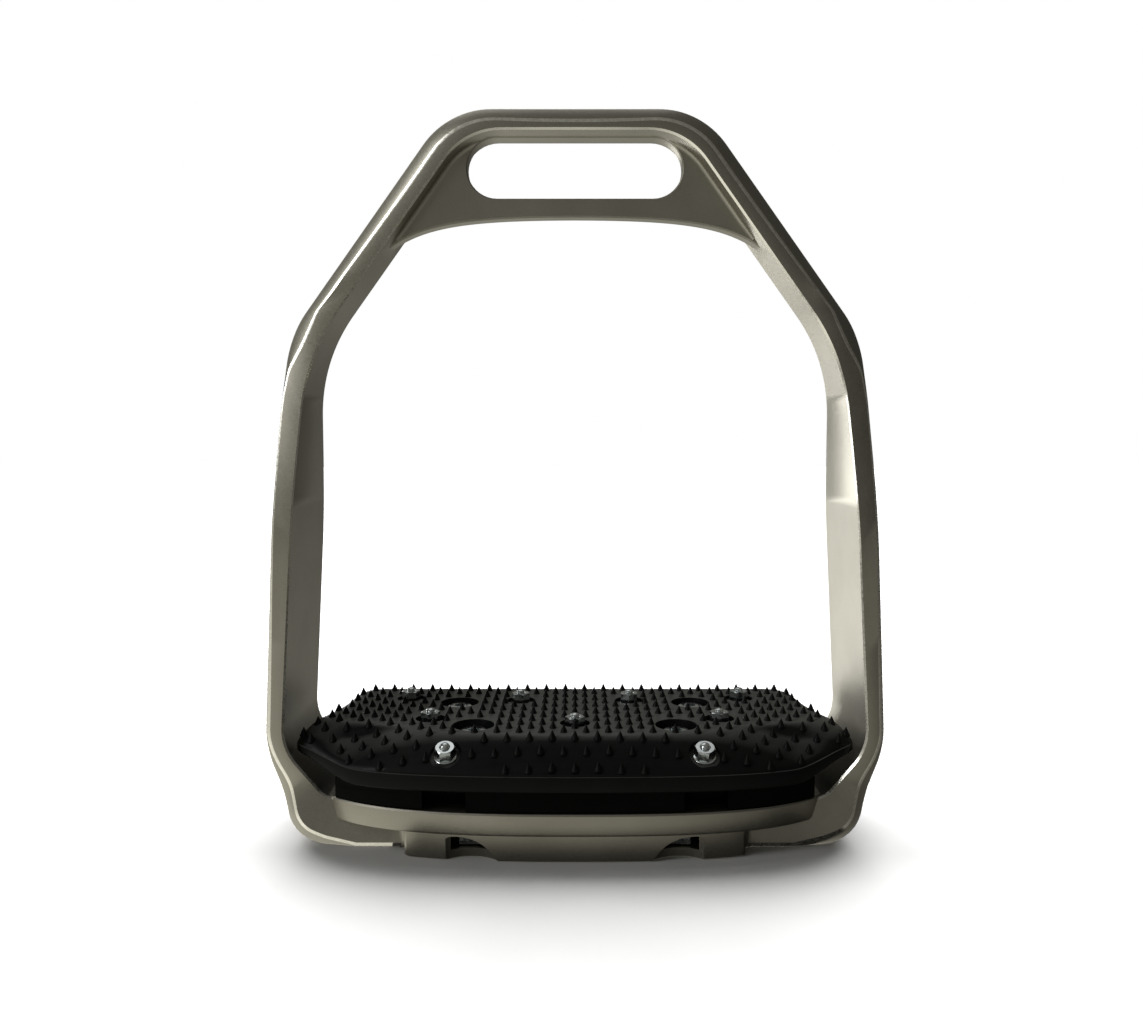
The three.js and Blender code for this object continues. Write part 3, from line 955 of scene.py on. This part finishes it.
def nut_bar(name, x, y):
    """The long nut of one tread screw: a bar with a narrow nose at the mouth of its pocket."""
    outward = math.copysign(1, y)
    wide = NUT_BAR["half_width"]
    narrow = NUT_BAR["nose_half_width"]
    behind = abs(y) - NUT_BAR["behind"]
    half = [(wide, behind), (wide, NUT_BAR["shoulder"]), (narrow, NUT_BAR["nose"])]
    outline = half + [(-across, along) for across, along in reversed(half)]
    plan = [(x + outward * across, outward * along) for across, along in outline]
    top = POCKET["top"] - FIT
    low = top - NUT_BAR["height"]
    ease = 0.2
    layers = [
        (inset(plan, ease), low),
        (plan, low + ease),
        (plan, top - ease),
        (inset(plan, ease), top),
    ]
    bar = stack(name, layers, STEEL)
    bore = drill(SCREW_RADIUS + FIT, 0, BASE_TOP, x, y, sides=32, materials=STEEL)
    return boolean(bar, bore, "DIFFERENCE")


def screw_profile(low, seat):
    """A tread screw's outline: a threaded shank, and a domed head from its seat upwards."""
    radius = SCREW_HEAD["radius"]
    flat = SCREW_HEAD["flat"]
    rim = seat + SCREW_HEAD["rim"]
    shank = thread_profile(SCREW_RADIUS, low + 0.3, seat - 1, 0.7)[:-2]
    profile = [(1.4, low), *shank, (SCREW_RADIUS, seat - 0.3), (SCREW_RADIUS, seat)]
    profile += [(radius - 0.2, seat), (radius, rim)]
    for k in range(1, 8):
        turn = math.pi / 2 * k / 9
        height = SCREW_HEAD["dome"] * math.sin(turn)
        profile.append((flat + (radius - flat) * math.cos(turn), rim + height))
    return profile


def make_tread_screws():
    """The four screws that hold the tread down, each with its long nut in the base."""
    seat = TREAD_SEAT + FIT
    for place, spot in screw_spots().items():
        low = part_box(f"tread_screw_{place}")[0][2] / MM
        profile = screw_profile(low, seat)
        body = lathe(f"tread_screw_{place}_fine", profile, STEEL, 48)
        boolean(body, hex_cutter(SCREW_HEAD["socket"], seat + 0.75, seat + 4), "DIFFERENCE")
        moved(body, spot.x, spot.y)
        crisp(body, 32)
        keep(body, f"tread_screw_{place}")
        nut = nut_bar(f"tread_nut_{place}_fine", spot.x, spot.y)
        crisp(nut, 20)
        keep(nut, f"tread_nut_{place}")


NUT_TURN = 37  # degrees from one stud's nut to the next, as in the CAD
NUT_WIDTH = 4
WASHER_RADIUS = 2.5


def stud_profile(tip):
    """A grip stud's outline: a flat head, held inside the tread, and a threaded shank."""
    head = STUD_HEAD["radius"]
    bottom = STUD_HEAD["bottom"]
    seat = STUD_HEAD["seat"]
    profile = [(head - 0.3, bottom), (head, bottom + 0.3), (head, seat - 0.1), (STUD_RADIUS, seat - 0.05)]
    return profile + thread_profile(STUD_RADIUS, seat + 0.1, tip - 0.35, 0.4)


def grip_washer(name, top):
    """A flat washer with eased edges, round the origin."""
    rim = WASHER_RADIUS
    ease = 0.1
    profile = [(rim - ease, FIT), (rim, FIT + ease), (rim, top - ease), (rim - 0.12, top - 0.01)]
    washer = lathe(name, profile, STEEL, 40)
    return boolean(washer, lathe("bore", [(1.1, -1), (1.1, 3)], STEEL, 32), "DIFFERENCE")


def make_grip_studs():
    """The studs that stand through the tread, each with its washer and nut."""
    washer_top = FIT + WASHER_HEIGHT
    tip = washer_top + NUT_HEIGHT + STUD_TIP
    for number, place in enumerate(STUDS, 1):
        stud = lathe(f"grip_stud_{place}_fine", stud_profile(tip), STEEL, 24)
        crisp(at_stud(stud, place), 32)
        keep(stud, f"grip_stud_{place}")
        washer = grip_washer(f"grip_washer_{place}_fine", washer_top)
        crisp(at_stud(washer, place), 40)
        keep(washer, f"grip_washer_{place}")
        nut = hex_nut(f"grip_nut_{place}_fine", NUT_WIDTH, NUT_HEIGHT, STUD_RADIUS + FIT)
        turn = Matrix.Rotation(math.radians(number * NUT_TURN), 4, "Z")
        nut.data.transform(Matrix.Translation((0, 0, washer_top * MM)) @ turn)
        crisp(at_stud(nut, place), 20)
        keep(nut, f"grip_nut_{place}")


# ---- the studio ----


def area_light(name, place, aim, size, power):
    """A soft rectangular light, in metres and watts, that the camera doesn't see."""
    data = bpy.data.lights.new(name, "AREA")
    data.shape = "RECTANGLE"
    data.size, data.size_y = size
    data.energy = power
    light = bpy.data.objects.new(name, data)
    light.location = place
    light.rotation_euler = (Vector(aim) - Vector(place)).to_track_quat("-Z", "Y").to_euler()
    light.visible_camera = False
    bpy.context.scene.collection.objects.link(light)


CAMERA = dict(lens=30.24, shift=-0.003, back=0.226, height=0.091, down=4.3)


def make_camera(scene):
    """A camera a little above the middle of the iron, looking slightly down at it."""
    data = bpy.data.cameras.new("camera")
    data.lens = CAMERA["lens"]
    data.sensor_width = 36
    data.shift_x = CAMERA["shift"]
    data.clip_start = 0.01
    camera = bpy.data.objects.new("camera", data)
    camera.location = (0, -CAMERA["back"], CAMERA["height"])
    camera.rotation_euler = (math.radians(90 - CAMERA["down"]), 0, 0)
    scene.collection.objects.link(camera)
    scene.camera = camera


def make_floor():
    """A wide pale floor that throws no light back at the object."""
    reach = 3.0 / MM
    corners = [(-reach, -reach), (reach, -reach), (reach, reach), (-reach, reach)]
    floor = solid("floor", [(x, y, -0.05) for x, y in corners], [(0, 1, 2, 3)], [pale_floor()])
    floor.visible_glossy = False
    floor.visible_diffuse = False
    floor.visible_shadow = False
    return floor


def make_studio():
    """The camera, the surroundings, the floor and the lights."""
    scene = bpy.context.scene
    scene.view_settings.view_transform = "Standard"
    make_camera(scene)
    make_world(scene)
    floor = make_floor()

    # A black card in front of the base, seen only in the metal, as the shadow there would be.
    card_plan = [(-41, -34), (64, -34), (64, -16), (-41, -16)]
    card = solid("card", [(x, y, 0.02) for x, y in card_plan], [(0, 1, 2, 3)], SPACER_BLACK)
    card.visible_camera = False
    card.visible_diffuse = False
    card.visible_shadow = False

    # One broad sun lights only the floor, so that it stays white round a soft shadow.
    sun_data = bpy.data.lights.new("floor_sun", "SUN")
    sun_data.energy = 15.6
    sun_data.angle = math.radians(88)
    sun = bpy.data.objects.new("floor_sun", sun_data)
    sun.rotation_euler = (math.radians(-50), 0, 0)
    scene.collection.objects.link(sun)
    only_floor = bpy.data.collections.new("only_floor")
    only_floor.objects.link(floor)
    sun.light_linking.receiver_collection = only_floor

    middle = (0, 0, 0.08)
    area_light("back_left", (-0.5, 0.7, -0.08), middle, (0.4, 0.5), 2.8)
    area_light("front_left", (-0.62, -0.31, 0.58), middle, (0.26, 0.36), 1.9)
    area_light("overhead", (-0.1, 0.45, 0.75), middle, (0.5, 0.4), 0.5)


def make_world(scene):
    """White behind the object for the camera; for light, a dim room over a pale table.

    Both the room and the table are paler on the left.
    """
    world = bpy.data.worlds.new("studio")
    world.use_nodes = True
    scene.world = world
    tree = world.node_tree
    place = tree.nodes.new("ShaderNodeTexCoord")
    parts = tree.nodes.new("ShaderNodeSeparateXYZ")
    tree.links.new(place.outputs["Generated"], parts.inputs["Vector"])

    def stretched(axis, low, high):
        """0 to 1 along one axis of the view direction."""
        span = tree.nodes.new("ShaderNodeMapRange")
        span.inputs["From Min"].default_value = low
        span.inputs["From Max"].default_value = high
        tree.links.new(parts.outputs[axis], span.inputs["Value"])
        return span.outputs["Result"]

    def across(left, right):
        """A colour that changes from the left of the room to its right."""
        ramp = tree.nodes.new("ShaderNodeValToRGB")
        ramp.color_ramp.elements[0].color = (*left, 1)
        ramp.color_ramp.elements[1].color = (*right, 1)
        tree.links.new(stretched("X", -0.8, 0.8), ramp.inputs["Fac"])
        return ramp.outputs["Color"]

    mix = tree.nodes.new("ShaderNodeMix")
    mix.data_type = "RGBA"
    first, second = [socket for socket in mix.inputs if socket.type == "RGBA"]
    tree.links.new(across((1.0, 0.98, 0.88), (0.13, 0.127, 0.11)), first)
    tree.links.new(across((0.30, 0.295, 0.27), (0.07, 0.068, 0.06)), second)
    tree.links.new(stretched("Z", -0.42, 0.06), mix.inputs["Factor"])
    room = tree.nodes["Background"]
    result = [socket for socket in mix.outputs if socket.type == "RGBA"][0]
    tree.links.new(result, room.inputs["Color"])
    white = tree.nodes.new("ShaderNodeBackground")
    white.inputs["Color"].default_value = (1, 1, 1, 1)
    path = tree.nodes.new("ShaderNodeLightPath")
    pick = tree.nodes.new("ShaderNodeMixShader")
    tree.links.new(path.outputs["Is Camera Ray"], pick.inputs["Fac"])
    tree.links.new(room.outputs["Background"], pick.inputs[1])
    tree.links.new(white.outputs["Background"], pick.inputs[2])
    tree.links.new(pick.outputs["Shader"], tree.nodes["World Output"].inputs["Surface"])


def pale_floor():
    """A matt pale grey, so faintly clouded that it looks even."""
    m = Nodes("pale_floor")
    m.colour(m.blend(m.between(m.noise(40, 2), 0, 1), (0.37, 0.37, 0.37), (0.39, 0.39, 0.39)))
    m.set(Roughness=0.9)
    return m.material


make_frame()
make_tread()
make_spacer()
make_tread_screws()
make_grip_studs()
make_studio()
